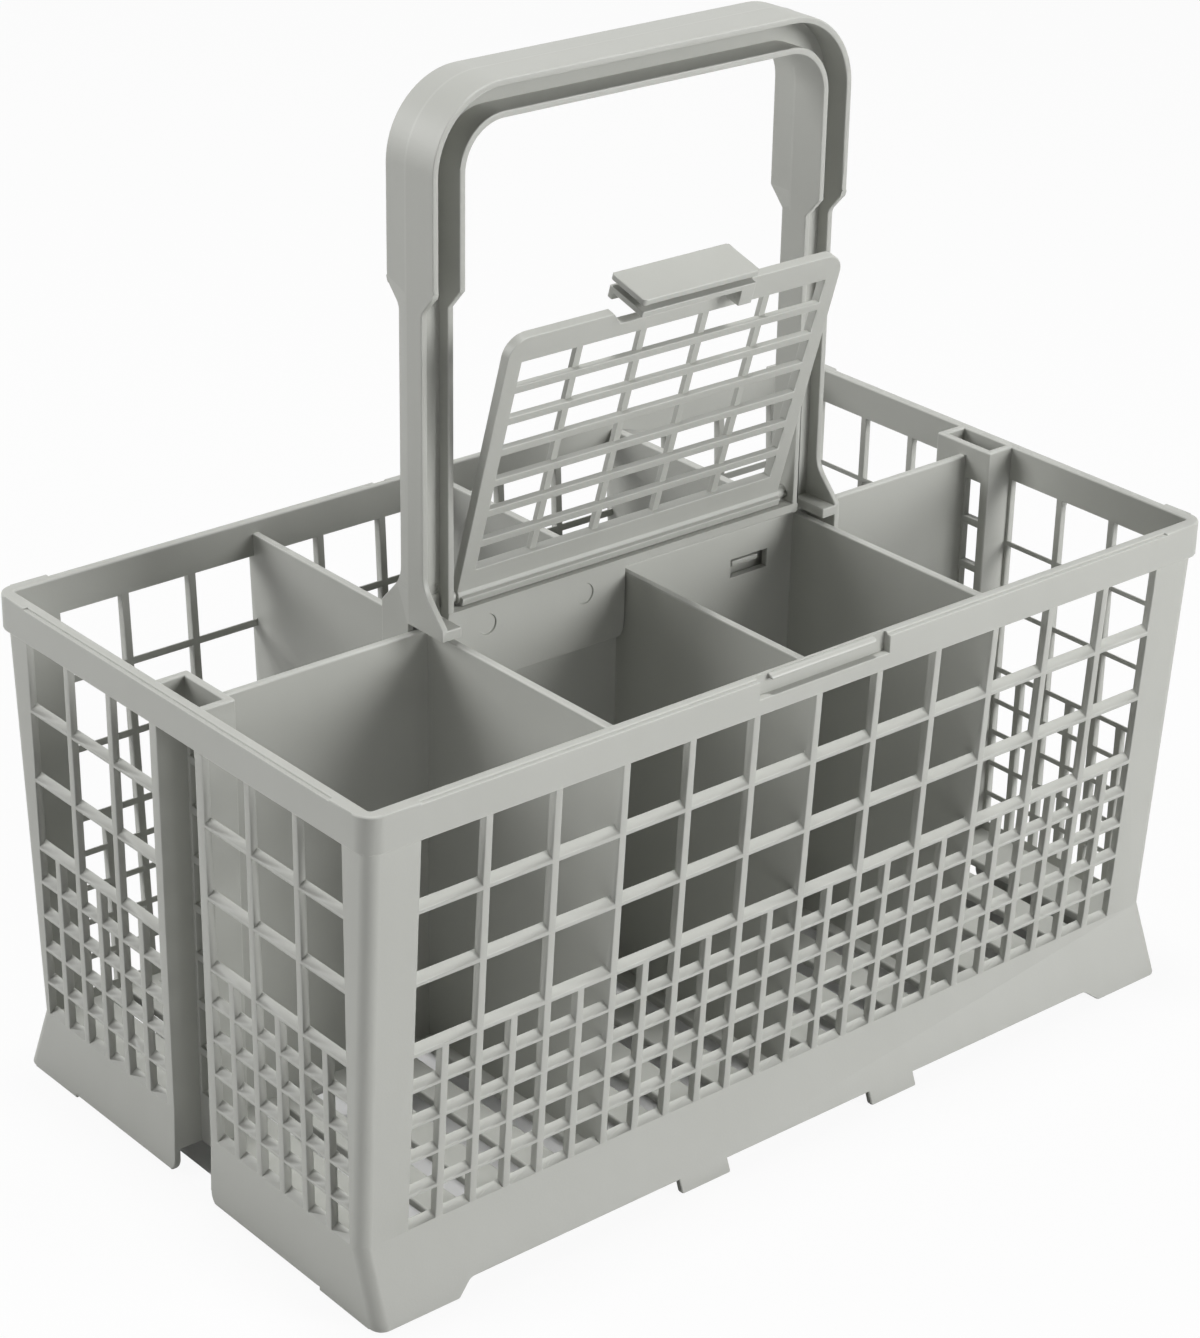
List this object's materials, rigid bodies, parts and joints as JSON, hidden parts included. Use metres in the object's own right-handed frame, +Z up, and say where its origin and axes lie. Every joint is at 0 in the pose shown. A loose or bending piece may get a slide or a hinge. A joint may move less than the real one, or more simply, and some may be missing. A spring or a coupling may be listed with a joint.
{
  "type": "dishwasher cutlery basket",
  "caption": "Moulded lattice basket for cutlery in a dishwasher, with dividers, a clip-in carrying arch and a hinged barred lid that closes over one row.",
  "frame": {"origin": "centre of the basket's footprint, on the surface it stands on", "axes": "+X along the long side, +Y across it towards the row that the lid closes, +Z up"},
  "size_m": [0.24, 0.1362, 0.2374],
  "materials": {
    "grey_plastic": "satin moulded polypropylene"
  },
  "bodies": {
    "basket": {"basket": "grey_plastic", "handle": "grey_plastic"},
    "lid": {"lid": "grey_plastic"}
  },
  "joints": [
    {"name": "lid_hinge", "type": "hinge", "parent": "basket", "child": "lid", "pos_m": [0, 0, 0.1226], "axis": [1, 0, 0], "range_deg": [-103, 0]}
  ]
}
